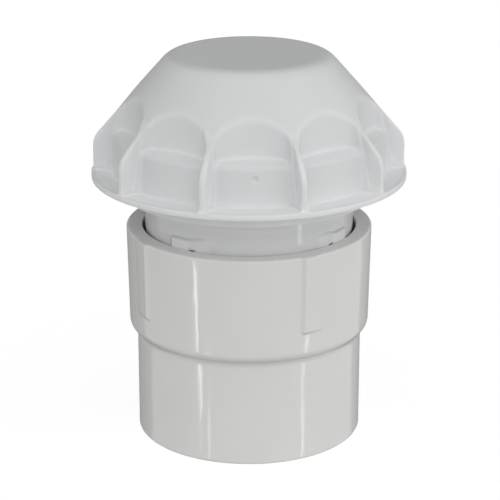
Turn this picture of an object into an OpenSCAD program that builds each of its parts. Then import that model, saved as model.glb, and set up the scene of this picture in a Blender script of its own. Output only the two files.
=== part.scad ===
// Air admittance valve in its pipe adapter, in millimetres.
// The axis is Z, the foot of the adapter is at z = 0 and the front of the valve faces -Y.

/* [Adapter] */
// Outside diameter of the lower barrel, which also slips inside a 4 in pipe
barrel_od = 101.6; // [98:0.1:104]
// Inside diameter of the socket for a 3 in pipe
socket_id = 89.2; // [86:0.1:92]
// Depth of the pipe socket
socket_depth = 38.1; // [32:0.1:42]
// Bore through the pipe stop
waterway_id = 77.8; // [70:0.1:82]
// Thickness of the pipe stop, whose upper face carries the neck
stop_thick = 8.6; // [5:0.1:10]
// Height of the hub's lower edge above the foot
shoulder_z = 50.8; // [47:0.1:53]
// How far the shoulder slopes down from the hub's lower edge to the barrel
shoulder_fall = 3; // [2:0.1:4]
// Height of the hub from its lower edge to its rim
hub_height = 45.7; // [40:0.1:55]
// Outside diameter of the hub at its lower edge
hub_od = 108.4; // [106:0.1:112]
// How much wider the hub is at its rim
hub_flare = 1.8; // [0:0.1:4]
// Radius of the hub's rounded lower edge, and of the fillet under it
shoulder_round = 4.2; // [1:0.1:4.4]
// Rounding of the adapter's other outside edges
adapter_round = 1; // [0.3:0.1:1.6]
// Number of raised pads round the hub
pad_count = 4; // [2:1:6]
// Width of a pad round the hub, in degrees
pad_angle = 11.8; // [6:0.1:20]
// How far a pad stands out from the hub
pad_depth = 1.5; // [0.6:0.1:2.5]
// Height of a pad, down from the rim
pad_height = 34.9; // [20:0.1:38]
// Direction of the first pad from the front
pad_turn = 31; // [0:0.5:90]

/* [Neck] */
// Outside diameter of the neck
neck_od = 93.2; // [91:0.1:94]
// Wall of the neck
neck_wall = 3.2; // [2.6:0.1:4]
// Length of the neck from its foot to its seat
neck_length = 77.9; // [72:0.1:90]
// Gap all round between the neck and the hub's bore
neck_gap = 1.35; // [1:0.05:2]
// Width of the neck's foot lip, which carries the throat screen
foot_lip = 2.4; // [1.5:0.1:4]
// Thickness of the neck's foot lip
foot_lip_thick = 2; // [1.5:0.1:4]
// Number of centring lugs on the neck
lug_count = 4; // [2:1:6]
// Width of a lug's face round the neck, in degrees
lug_angle = 15; // [8:0.5:25]
// How far each end of a lug slopes out to its root
lug_ramp = 2; // [0.5:0.1:4]
// Height of a lug
lug_height = 10; // [6:0.1:14]
// How far the lugs rise above the hub's rim
lug_rise = 3.8; // [2:0.1:8]
// Clearance between the lugs and the hub's bore
lug_clear = 0.2; // [0.1:0.05:0.5]
// Width of the relief notch near each end of a lug
notch_width = 3; // [1.5:0.1:5]
// Depth of the relief notch into the neck's wall
notch_depth = 1.4; // [0.6:0.1:1.8]
// How far the relief notches rise above the hub's rim
notch_rise = 0.4; // [0:0.1:2]
// Angle from the end of a lug's face to the middle of its relief notch
notch_inset = 2.2; // [0:0.1:4]
// Direction of the first lug from the front
lug_turn = 53.8; // [0:0.1:90]
// Rounding of the small moulded edges on the valve
edge_round = 0.5; // [0.2:0.1:0.8]

/* [Pipe seal] */
// Height of the seal's groove above the neck's foot
seal_z = 16; // [8:0.1:24]
// Height of the seal's groove
seal_height = 14; // [10:0.1:18]
// Depth of the seal's groove into the neck
seal_groove = 1.2; // [0.8:0.1:1.5]
// Number of lips on the seal
lip_count = 3; // [2:1:4]
// Thickness of a lip at its root
lip_thick = 2; // [1:0.1:3]

/* [Cap] */
// Diameter over the rim flange
rim_od = 140.2; // [134:0.1:150]
// Thickness of the rim flange at its edge
rim_thick = 2.7; // [2:0.1:4]
// How much the flange's upper face rises from its edge to the skirt
rim_rise = 1; // [0.5:0.1:2]
// Height of the cap
cap_height = 55; // [50:0.1:58]
// Diameter over the ribs
rib_od = 138.4; // [133:0.1:139.8]
// Thickness of a rib
rib_thick = 2.6; // [1.8:0.1:4]
// Thickness of a rib's root
root_thick = 4.4; // [2.8:0.1:6]
// Diameter over the ribs' roots, level with the rim's underside
root_od = 129.6; // [124:0.1:134]
// Lean of the roots' edges from upright
root_lean = 13.4; // [8:0.1:18]
// Number of pockets and ribs
pocket_count = 10; // [8:1:12]
// Turn of the whole cap from the front
cap_turn = 1.5; // [-18:0.1:18]
// Angle of the cone to the axis
cone_angle = 41.4; // [38:0.1:44]
// Height above the rim at which the cone's line meets the ribs' upright edge
cone_foot = 16.9; // [14:0.1:20]
// Rounding between the cone and the ribs' upright edge
rib_round = 9.8; // [4:0.1:12]
// Rounding between the flat crown and the cone
crown_round = 9.6; // [4:0.1:16]
// Diameter of the skirt at the rim
skirt_od = 121.6; // [118:0.1:126]
// Draft of the skirt
skirt_draft = 3; // [0:0.1:4]
// Height of the ledge's front edge above the rim
ledge_z = 18.7; // [17:0.1:21]
// Slope of the ledge
ledge_slope = 18.6; // [10:0.1:25]
// Radius of a pocket's hollow upper wall, seen from above
scallop_r = 40; // [32:0.1:48]
// Distance from the axis to the middle of a pocket's upper wall
pocket_r = 50.2; // [48:0.1:52]
// Draft of the pocket's upper wall
pocket_draft = 2; // [0:0.1:4]
// Rounding of the pockets' edges
pocket_round = 1.2; // [0.4:0.1:1.6]
// Wall of the cap
cap_wall = 2.6; // [2:0.1:3]
// Diameter of the moulding gate's dimple
gate_d = 4; // [2:0.1:5]
// Depth of the moulding gate's dimple
gate_depth = 0.8; // [0.2:0.1:1.2]
// Height of the gate above the rim
gate_z = 15; // [8:0.1:16]
// Turn of the gate from the middle of its pocket
gate_turn = 0.8; // [-4:0.1:4]

/* [Valve] */
// How far the membrane lifts
lift = 8; // [6:0.1:9]
// Clearance left above the carrier at full lift
lift_clear = 0.45; // [0.3:0.05:1]
// Thickness of the membrane
membrane_thick = 1.6; // [1:0.1:2.5]
// Thickness of the carrier's ring
carrier_thick = 2; // [1.5:0.1:3]
// Thickness of the clamp ring
clamp_thick = 1.8; // [1.2:0.1:2.5]
// Gap all round between the clamp ring and the two seats
clamp_gap = 1.6; // [1:0.1:2]
// Number of studs on the clamp ring
stud_count = 8; // [4:1:12]
// Diameter of a stud
stud_d = 2.4; // [1.6:0.1:2.8]
// Clearance round a stud
stud_clear = 0.05; // [0.02:0.01:0.2]
// Wall of the outer seat ring
ring_wall = 2; // [1.6:0.1:2.6]
// Width of the flat land on each seat
seat_land = 1.4; // [0.8:0.1:1.6]
// How far the membrane laps past each seat's land
seat_lap = 0.5; // [0.2:0.1:0.6]
// Clearance between the seat ring and the cap
ring_clear = 0.4; // [0.2:0.05:0.6]
// Width of the flange that the cap sits on
cap_seat = 4; // [3:0.1:6]
// Thickness of the flange that the cap sits on
cap_seat_thick = 2; // [1.5:0.1:2.5]
// Height of the snap bead that holds the cap
bead_depth = 0.9; // [0.6:0.1:1]
// Clearance round the snap bead
bead_clear = 0.2; // [0.1:0.05:0.3]
// Number of webs across the air inlet
web_count = 8; // [4:4:12]
// Thickness of the webs
web_thick = 2.2; // [1.6:0.1:3]
// Height of the webs
web_height = 7.3; // [5:0.1:9]
// Clearance between the clamp ring and the webs
web_clear = 1.4; // [0.5:0.1:2]
// Diameter of the stem that guides the membrane
stem_d = 8; // [6:0.1:10]
// Clearance all round between the stem and its guide
stem_clear = 0.05; // [0.02:0.01:0.09]
// Outside diameter of the guide
guide_od = 14; // [12:0.1:18]
// Length of the guide
guide_length = 18; // [14:0.1:24]
// Depth of the guide's upper end below the seats
guide_drop = 14; // [11:0.1:20]
// How far the stem reaches below the guide
stem_tail = 2; // [0:0.1:6]
// Number of arms that carry the guide, and of spokes on the carrier
arm_count = 4; // [3:1:6]
// Thickness of the arms and spokes
arm_thick = 2.4; // [1.8:0.1:4]
// Height of the arms
arm_height = 10; // [6:0.1:13]
// Height of the spokes above the carrier's ring
spoke_rise = 2; // [1:0.1:4]

/* [Screens and cap seal] */
// Thickness of the screens
screen_thick = 1.8; // [1.2:0.1:2.5]
// Width of the screens' bars
bar_width = 1; // [0.6:0.1:1.4]
// Number of bars round the insect screen
screen_bars = 60; // [36:1:72]
// Height of the insect screen's collar
collar_height = 4; // [3:0.1:8]
// Wall of the screens' rims and of the collar
screen_rim = 1.6; // [1.2:0.1:2]
// Clearance round the screens
screen_clear = 0.15; // [0.05:0.05:0.3]
// Number of bars across the throat screen
throat_bars = 24; // [12:1:36]
// Number of rings in the throat screen
throat_rings = 5; // [3:1:6]
// Thickness of the cap seal's cord
cord_d = 2; // [1.6:0.1:2.2]
// Clearance round the cap seal
cord_clear = 0.05; // [0.02:0.01:0.1]

/* [Hidden] */
$fn = 144;

// How deep pieces of one moulding run into each other
root = 1;
// How far cutters reach past what they cut
past = 1;

// Heights up the axis
socket_floor = socket_depth + stop_thick;
hub_rim = shoulder_z + hub_height;
seat_level = socket_floor + neck_length;

// Radii of the neck and the hub
neck_r = neck_od / 2;
throat_r = neck_r - neck_wall;
hub_bore_r = neck_r + neck_gap;

// Radii inside the cap, worked inwards from the skirt
skirt_top_r = skirt_od / 2 - ledge_z * tan(skirt_draft);
chamber_r = skirt_top_r - cap_wall;
ring_r = chamber_r - ring_clear;
ring_bore_r = ring_r - ring_wall;
outer_land_r = (ring_r + ring_bore_r + seat_land) / 2;
inner_land_r = (neck_r + throat_r - seat_land) / 2;
membrane_r = outer_land_r + seat_lap / 2;
membrane_hole_r = inner_land_r - seat_lap;
carrier_r = membrane_r - seat_land;
carrier_hole_r = membrane_hole_r + seat_land;
clamp_r = ring_bore_r - clamp_gap;
clamp_hole_r = neck_r + clamp_gap;
stud_ring_r = (clamp_r + clamp_hole_r) / 2;

// Underside of the cap's ledge, measured from the rim, and the heights that hang on it
function ledge_top(r) = ledge_z + (skirt_top_r - r) * tan(ledge_slope);
function ledge_under(r) = ledge_top(r) - cap_wall / cos(ledge_slope);
stack = membrane_thick + carrier_thick;
seat_above_rim = ledge_under(carrier_r) - lift_clear - lift - stack;
rim_level = seat_level - seat_above_rim;
web_top = seat_level - clamp_thick - web_clear;
web_foot = web_top - web_height;
bead_z = seat_above_rim / 2 + cord_d / 2;
guide_top = seat_level - guide_drop;
guide_foot = guide_top - guide_length;

// Direction of each pocket, web, arm, stud and throat bar from the front
pocket_pitch = 360 / pocket_count;
web_turn = 180 / web_count;
arm_turn = 180 / arm_count;
stud_turn = 90 / stud_count;
throat_turn = 180 / throat_bars;

// Radius of the cone at a height above the rim
function cone_r(z) = rib_od / 2 - (z - cone_foot) * tan(cone_angle);

// Points along a polygon whose corners are given as [x, y, radius]
function flat(p) = [p.x, p.y];
function unit(v) = v / norm(v);
function turned(v, a) = [v.x * cos(a) - v.y * sin(a), v.x * sin(a) + v.y * cos(a)];
function arc_steps(r) = r > 5 ? 12 : 5;
function rounded_corner(before, at, after) =
    let (
        a = unit(flat(before) - flat(at)),
        b = unit(flat(after) - flat(at)),
        half = acos(a * b) / 2,
        centre = flat(at) + unit(a + b) * at[2] / sin(half),
        from = flat(at) + a * at[2] / tan(half) - centre,
        to = flat(at) + b * at[2] / tan(half) - centre,
        sweep = atan2(cross(from, to), from * to)
    )
    [for (i = [0:arc_steps(at[2])]) centre + turned(from, sweep * i / arc_steps(at[2]))];
function rounded(p) =
    let (n = len(p))
    [for (i = [0:n - 1])
        each p[i][2] == 0 ? [flat(p[i])] : rounded_corner(p[(i + n - 1) % n], p[i], p[(i + 1) % n])];

// A body turned about the axis from a profile of [radius, height, rounding]
module turned_body(profile) {
    rotate_extrude()
        polygon(rounded(profile));
}

// Part of a turned body, centred on a direction from the front
module turned_part(profile, direction, angle) {
    rotate([0, 0, direction - 90 - angle / 2])
        rotate_extrude(angle = angle)
            polygon(rounded(profile));
}

// Copies round the axis, whose children stand along +X and turn to face the front first
module around(count, direction = 0) {
    for (i = [0:count - 1])
        rotate([0, 0, direction - 90 + i * 360 / count])
            children();
}

// A flat bar along +X, from one radius to another
module bar(from_r, to_r, width, foot, height) {
    translate([from_r, -width / 2, foot])
        cube([to_r - from_r, width, height]);
}

module ring(outer_r, inner_r, foot, height) {
    translate([0, 0, foot])
        difference() {
            cylinder(r = outer_r, h = height);
            translate([0, 0, -past])
                cylinder(r = inner_r, h = height + 2 * past);
        }
}

// Adapter: one turned moulding with its two sockets, and the pads on its hub
module adapter() {
    rim_r = (hub_od + hub_flare) / 2;
    foot_r = hub_od / 2;
    pad_foot = hub_rim - pad_height;
    pad_foot_r = foot_r + (pad_foot - shoulder_z) / hub_height * hub_flare / 2;
    color("gainsboro") {
        turned_body([
            [socket_id / 2, 0, adapter_round / 2],
            [barrel_od / 2, 0, adapter_round],
            [barrel_od / 2, shoulder_z - shoulder_fall, shoulder_round],
            [foot_r, shoulder_z, shoulder_round],
            [rim_r, hub_rim, adapter_round],
            [hub_bore_r, hub_rim, adapter_round / 2],
            [hub_bore_r, socket_floor, 0],
            [waterway_id / 2, socket_floor, adapter_round],
            [waterway_id / 2, socket_depth, 0],
            [socket_id / 2, socket_depth, 0]
        ]);
        for (i = [0:pad_count - 1])
            turned_part([
                [pad_foot_r - root, pad_foot, 0],
                [pad_foot_r + pad_depth, pad_foot, 0],
                [rim_r + pad_depth, hub_rim, adapter_round],
                [rim_r - adapter_round - root, hub_rim, 0]
            ], pad_turn + i * 360 / pad_count, pad_angle);
    }
}

// Pipe seal: rubber sleeve in the neck's groove, with lips that reach the hub's bore
module pipe_seal() {
    foot = socket_floor + seal_z + cord_clear;
    height = seal_height - 2 * cord_clear;
    sleeve_r = neck_r - cord_clear;
    bore_r = neck_r - seal_groove + cord_clear;
    lip_r = hub_bore_r - cord_clear;
    pitch = height / lip_count;
    color("dimgray") {
        ring(sleeve_r, bore_r, foot, height);
        for (i = [0:lip_count - 1])
            turned_body([
                [bore_r + (sleeve_r - bore_r) / 2, foot + i * pitch + (pitch - lip_thick) / 2, 0],
                [lip_r, foot + i * pitch + (pitch + lip_thick) / 2 - lip_thick / 4, 0],
                [lip_r, foot + i * pitch + (pitch + lip_thick) / 2, 0],
                [bore_r + (sleeve_r - bore_r) / 2, foot + i * pitch + (pitch + lip_thick) / 2, 0]
            ]);
    }
}

// Valve body: neck, lugs, two seats, the webs between them and the stem's guide
module neck() {
    land = (neck_wall - seat_land) / 2;
    seal_foot = socket_floor + seal_z;
    turned_body([
        [throat_r - foot_lip, socket_floor, edge_round],
        [neck_r, socket_floor, edge_round],
        [neck_r, seal_foot, 0],
        [neck_r - seal_groove, seal_foot, 0],
        [neck_r - seal_groove, seal_foot + seal_height, 0],
        [neck_r, seal_foot + seal_height, 0],
        [neck_r, seat_level - land, 0],
        [neck_r - land, seat_level, 0],
        [throat_r + land, seat_level, 0],
        [throat_r, seat_level - land, 0],
        [throat_r, socket_floor + foot_lip_thick, 0],
        [throat_r - foot_lip, socket_floor + foot_lip_thick, edge_round]
    ]);
}

module seat_ring() {
    land = ring_wall - seat_land;
    turned_body([
        [ring_bore_r, web_foot, 0],
        [ring_r, web_foot, 0],
        [ring_r, rim_level - cap_seat_thick, 0],
        [ring_r + cap_seat, rim_level - cap_seat_thick, edge_round],
        [ring_r + cap_seat, rim_level, edge_round],
        [ring_r, rim_level, 0],
        [ring_r, rim_level + bead_z - bead_depth, 0],
        [ring_r + bead_depth, rim_level + bead_z, 0],
        [ring_r, rim_level + bead_z + bead_depth, 0],
        [ring_r, seat_level - land / 2, 0],
        [ring_r - land / 2, seat_level, 0],
        [ring_bore_r + land / 2, seat_level, 0],
        [ring_bore_r, seat_level - land / 2, 0]
    ]);
}

module lugs() {
    lug_r = hub_bore_r - lug_clear;
    lug_top = hub_rim + lug_rise;
    intersection() {
        turned_body([
            [neck_r - root, lug_top - lug_height, 0],
            [lug_r, lug_top - lug_height, 0],
            [lug_r, lug_top, edge_round],
            [neck_r - root, lug_top, 0]
        ]);
        around(lug_count, lug_turn)
            lug_outline(lug_r, lug_top);
    }
}

// Block along +X that gives a lug its two sloping ends
module lug_outline(lug_r, lug_top) {
    step = lug_r - neck_r;
    end_x = lug_r * cos(lug_angle / 2);
    half = lug_r * sin(lug_angle / 2);
    translate([0, 0, lug_top - lug_height - past])
        linear_extrude(lug_height + 2 * past)
            polygon([
                [end_x - 2 * step, -half - 2 * lug_ramp],
                [end_x + step, -half + lug_ramp],
                [end_x + step, half - lug_ramp],
                [end_x - 2 * step, half + 2 * lug_ramp]
            ]);
}

module lug_notches() {
    foot = hub_rim + lug_rise - lug_height - past;
    for (end = [-1, 1])
        around(lug_count, lug_turn + end * (lug_angle / 2 - notch_inset))
            bar(neck_r - notch_depth, hub_bore_r, notch_width, foot, hub_rim + notch_rise - foot);
}

module guide() {
    around(arm_count, arm_turn)
        bar(stem_d / 2 + root, throat_r + root, arm_thick, guide_top - arm_height, arm_height);
    translate([0, 0, guide_foot])
        cylinder(d = guide_od, h = guide_length);
}

module valve_body() {
    color("whitesmoke")
        difference() {
            union() {
                neck();
                seat_ring();
                lugs();
                guide();
                around(web_count, web_turn)
                    bar(neck_r - root, ring_bore_r + root, web_thick, web_foot, web_height);
            }
            lug_notches();
            translate([0, 0, guide_foot - past])
                cylinder(r = stem_d / 2 + stem_clear, h = guide_length + 2 * past);
        }
}

// Insect screen: ring grille that grips the neck under the webs
module insect_screen() {
    bore_r = neck_r + screen_clear;
    foot = web_foot - screen_thick;
    middle_r = (bore_r + screen_rim + ring_r - screen_rim) / 2;
    color("lightgray") {
        ring(bore_r + screen_rim, bore_r, web_foot - collar_height, collar_height);
        ring(middle_r + bar_width / 2, middle_r - bar_width / 2, foot, screen_thick);
        ring(ring_r, ring_r - screen_rim, foot, screen_thick);
        around(screen_bars)
            bar(bore_r + screen_rim / 2, ring_r - screen_rim / 2, bar_width, foot, screen_thick);
    }
}

// Throat screen: round grille that lies on the neck's foot lip
module throat_screen() {
    screen_r = throat_r - screen_clear;
    foot = socket_floor + foot_lip_thick;
    pitch = (screen_r - screen_rim) / throat_rings;
    color("lightgray") {
        ring(screen_r, screen_r - screen_rim, foot, screen_thick);
        for (i = [1:throat_rings - 1])
            ring(i * pitch + bar_width / 2, i * pitch - bar_width / 2, foot, screen_thick);
        around(throat_bars, throat_turn)
            bar(pitch, screen_r - screen_rim / 2, bar_width, foot, screen_thick);
        translate([0, 0, foot])
            cylinder(r = pitch, h = screen_thick);
    }
}

// Cap: a turned shell whose outside is cut into pockets, which leaves the ribs between them
module cap_outside() {
    turned_body([
        [0, 0, 0],
        [rim_od / 2, 0, edge_round],
        [rim_od / 2, rim_thick, edge_round],
        [rib_od / 2, rim_thick + edge_round, 0],
        [rib_od / 2, cone_foot, rib_round],
        [cone_r(cap_height), cap_height, crown_round],
        [0, cap_height, 0]
    ]);
}

// A pocket's drafted upper wall, along +X, grown by a wall to make the chamber's side of it
module scallop(wall) {
    base = ledge_top(pocket_r);
    rise = cap_height + past - base;
    translate([pocket_r + scallop_r, 0, -past])
        cylinder(
            r1 = scallop_r + wall - (base + past) * tan(pocket_draft),
            r2 = scallop_r + wall + rise * tan(pocket_draft),
            h = cap_height + 2 * past
        );
}

// The room between two ribs, along +X
module between_ribs() {
    far = rim_od;
    side = rib_thick / 2;
    half = pocket_pitch / 2;
    linear_extrude(height = cap_height + past)
        polygon([
            [side / sin(half), 0],
            far * [cos(half), -sin(half)] + side * [sin(half), cos(half)],
            far * [cos(half), sin(half)] + side * [sin(half), -cos(half)]
        ]);
}

// Thicker root of a rib, along +X, whose edge leans in from the rim to the shoulder of the pockets
module rib_root() {
    foot_r = root_od / 2;
    back_r = pocket_r - scallop_r / 2;
    height = cap_height + 2 * past;
    rotate([90, 0, 0])
        linear_extrude(height = root_thick, center = true)
            polygon([
                [back_r, 0],
                [foot_r, 0],
                [foot_r - height * tan(root_lean), height],
                [back_r, height]
            ]);
}

module pocket() {
    far = rim_od;
    back_r = pocket_r - scallop_r / 2;
    fall = rim_rise / (rim_od / 2 - skirt_od / 2);
    difference() {
        intersection() {
            between_ribs();
            scallop(0);
            turned_body([
                [skirt_od / 2, rim_thick + rim_rise, pocket_round],
                [far, rim_thick - (far - rim_od / 2) * fall, 0],
                [far, cap_height + past, 0],
                [back_r, cap_height + past, 0],
                [back_r, ledge_top(back_r), 0],
                [skirt_top_r, ledge_z, pocket_round]
            ]);
        }
        for (side = [-1, 1])
            rotate([0, 0, side * pocket_pitch / 2])
                rib_root();
    }
}

// Round dimple where the moulding's gate was, in the front pocket's skirt
module gate() {
    ball_r = (pow(gate_d / 2, 2) + pow(gate_depth, 2)) / (2 * gate_depth);
    wall_r = skirt_od / 2 - gate_z * tan(skirt_draft);
    translate([wall_r + ball_r - gate_depth, 0, gate_z])
        sphere(r = ball_r);
}

// Hollow of the cap: the round chamber over the seats, and the lobed dome above it
module cap_chamber() {
    seal_top = cord_d + 2 * cord_clear;
    seal_r = ring_r + ring_clear + cord_d + 2 * cord_clear;
    groove = bead_depth + bead_clear;
    turned_body([
        [0, -past, 0],
        [seal_r, -past, 0],
        [seal_r, seal_top, 0],
        [chamber_r, seal_top, 0],
        [chamber_r, bead_z - groove, 0],
        [ring_r + groove, bead_z, 0],
        [chamber_r, bead_z + groove, 0],
        [chamber_r, ledge_under(chamber_r), 0],
        [0, ledge_under(0), 0]
    ]);
}

module cap_dome() {
    foot = ledge_under(chamber_r);
    top = cap_height - cap_wall;
    inset = cap_wall / cos(cone_angle);
    middle = pocket_r + scallop_r;
    half = pocket_pitch / 2;
    meet_r = middle * cos(half) - sqrt(pow(scallop_r + cap_wall, 2) - pow(middle * sin(half), 2));
    lobe_r = min(meet_r, chamber_r) - rib_thick;
    lobe_top = cone_foot + (rib_od / 2 - inset - lobe_r) / tan(cone_angle);
    difference() {
        turned_body([
            [0, foot, 0],
            [lobe_r, foot, 0],
            [lobe_r, lobe_top, 0],
            [cone_r(top) - inset, top, max(crown_round - cap_wall, edge_round)],
            [0, top, 0]
        ]);
        around(pocket_count)
            intersection() {
                between_ribs();
                scallop(cap_wall);
            }
    }
}

module cap() {
    color("white")
        translate([0, 0, rim_level])
            rotate([0, 0, cap_turn])
                difference() {
                    cap_outside();
                    around(pocket_count)
                        pocket();
                    around(1, gate_turn)
                        gate();
                    cap_chamber();
                    cap_dome();
                }
}

// Cap seal: rubber cord in the corner between the cap and the flange it sits on
module cap_seal() {
    color("dimgray")
        rotate_extrude()
            translate([ring_r + ring_clear / 2 + cord_clear + cord_d / 2, rim_level + cord_clear + cord_d / 2])
                circle(d = cord_d);
}

// Moving pieces: membrane, its carrier above and its clamp below
module membrane() {
    color("darkslategray")
        difference() {
            ring(membrane_r, membrane_hole_r, seat_level, membrane_thick);
            around(stud_count, stud_turn)
                translate([stud_ring_r, 0, seat_level - past])
                    cylinder(d = stud_d + 2 * stud_clear, h = membrane_thick + 2 * past);
        }
}

module membrane_carrier() {
    foot = seat_level + membrane_thick;
    color("lightsteelblue")
        difference() {
            union() {
                ring(carrier_r, carrier_hole_r, foot, carrier_thick);
                around(arm_count, arm_turn)
                    bar(stem_d / 4, carrier_hole_r + root, arm_thick, foot, carrier_thick + spoke_rise);
                translate([0, 0, foot])
                    cylinder(d = guide_od, h = carrier_thick + spoke_rise);
                translate([0, 0, guide_foot - stem_tail])
                    cylinder(d = stem_d, h = foot - guide_foot + stem_tail + root);
            }
            around(stud_count, stud_turn)
                translate([stud_ring_r, 0, foot - past])
                    cylinder(d = stud_d + 2 * stud_clear, h = carrier_thick + 2 * past);
        }
}

module membrane_clamp() {
    color("lightsteelblue") {
        ring(clamp_r, clamp_hole_r, seat_level - clamp_thick, clamp_thick);
        around(stud_count, stud_turn)
            translate([stud_ring_r, 0, seat_level - root])
                cylinder(d = stud_d, h = stack + root);
    }
}

adapter();
pipe_seal();
valve_body();
insect_screen();
throat_screen();
cap();
cap_seal();
membrane();
membrane_carrier();
membrane_clamp();
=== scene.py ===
"""Looks of an air admittance valve in its pipe adapter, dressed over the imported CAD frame.

Sizes in the classes are millimetres, in the frame of the part's source: the axis is Z, the foot of the
adapter is at z = 0 and the front faces -Y. Directions are degrees from the front towards +X.
"""

from __future__ import annotations

import logging
import math
from dataclasses import dataclass
from enum import Enum
from functools import partialmethod
from typing import Any, Mapping, NamedTuple, Sequence

import bpy
import numpy as np
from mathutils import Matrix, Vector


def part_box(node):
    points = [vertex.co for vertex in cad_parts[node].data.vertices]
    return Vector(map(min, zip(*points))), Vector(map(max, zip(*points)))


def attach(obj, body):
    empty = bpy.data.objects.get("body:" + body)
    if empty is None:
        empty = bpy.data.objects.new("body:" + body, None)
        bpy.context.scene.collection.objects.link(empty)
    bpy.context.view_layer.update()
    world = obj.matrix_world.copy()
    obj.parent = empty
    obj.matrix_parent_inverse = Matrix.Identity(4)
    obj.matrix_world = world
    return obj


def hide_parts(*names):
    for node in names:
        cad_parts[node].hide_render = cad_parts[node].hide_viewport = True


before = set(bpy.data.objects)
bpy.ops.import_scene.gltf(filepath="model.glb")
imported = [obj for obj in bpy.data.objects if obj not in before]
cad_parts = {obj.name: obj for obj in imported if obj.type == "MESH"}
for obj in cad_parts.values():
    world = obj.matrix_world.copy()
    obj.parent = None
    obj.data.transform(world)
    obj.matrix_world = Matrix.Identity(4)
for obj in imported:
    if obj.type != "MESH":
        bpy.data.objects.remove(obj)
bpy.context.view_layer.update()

MM = 0.001
SHARP_ANGLE = 38.0
Array = np.ndarray
Values = Array | float
Colour = tuple[float, float, float, float]
Piece = bpy.types.Object
Settings = Mapping[str, Any] | None
Sockets = Mapping[str | int, Any] | None
log = logging.getLogger("valve")


class Slot(Enum):
    """Material slots of the record."""

    ADAPTER = "adapter_pvc"
    BODY = "body_plastic"
    CAP = "cap_plastic"
    SCREEN = "screen_plastic"
    CARRIER = "carrier_plastic"
    MEMBRANE = "membrane_rubber"
    SEAL = "seal_rubber"


class Body(Enum):
    """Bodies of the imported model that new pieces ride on."""

    HOUSING = "housing"


def slope(degrees: float) -> float:
    """Sideways run of a lean for each unit of height."""
    return math.tan(math.radians(degrees))


def spaced(*runs: tuple[float, float, int]) -> Array:
    """Evenly spaced runs of values, each given by its ends and its count, one after another."""
    return np.concatenate([np.linspace(*run) for run in runs])


def fade(distance: Array, full: Values, gone: Values) -> Array:
    """An even fall from 1 at the full distance to 0 where it is gone, flat beyond both."""
    return np.clip((gone - distance) / (gone - full), 0.0, 1.0)


def smooth(share: Array) -> Array:
    """Three squares less two cubes, which levels a fall off at both its ends."""
    return share**2 * (3.0 - 2.0 * share)


def polar(reach: Values, turn: Array, height: Array) -> Array:
    """Points at reach times the sine of their turn to the right, and times its cosine to the front."""
    return np.stack(np.broadcast_arrays(reach * np.sin(turn), -reach * np.cos(turn), height), axis=-1)


def grid_faces(rows: int, columns: int) -> Array:
    """Faces between the points of a grid, which are numbered row by row."""
    here = (np.arange(rows - 1)[:, None] * columns + np.arange(columns - 1)).ravel()
    return np.stack([here, here + 1, here + columns + 1, here + columns], axis=-1)


def new_piece(name: str, points: Array, faces: list[list[int]], soft: bool) -> Piece:
    """Puts a mesh into the scene, at the origin.

    Args:
        name: Name of the piece.
        points: Places in metres, one row each.
        faces: Numbers of each face's points.
        soft: Whether it is shaded smoothly.

    Returns:
        The new object.
    """
    mesh = bpy.data.meshes.new(name)
    mesh.from_pydata(points.tolist(), [], faces)
    mesh.polygons.foreach_set("use_smooth", np.full(len(faces), soft))
    piece = bpy.data.objects.new(name, mesh)
    bpy.context.scene.collection.objects.link(piece)
    log.info("%s: %d faces", name, len(faces))
    return piece


def mark(piece: Piece, name: str, values: Array) -> None:
    """Stores a number for each point of a mesh."""
    layer = piece.data.attributes.new(name, "FLOAT", "POINT")
    layer.data.foreach_set("value", values.astype(np.float32).ravel())


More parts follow.
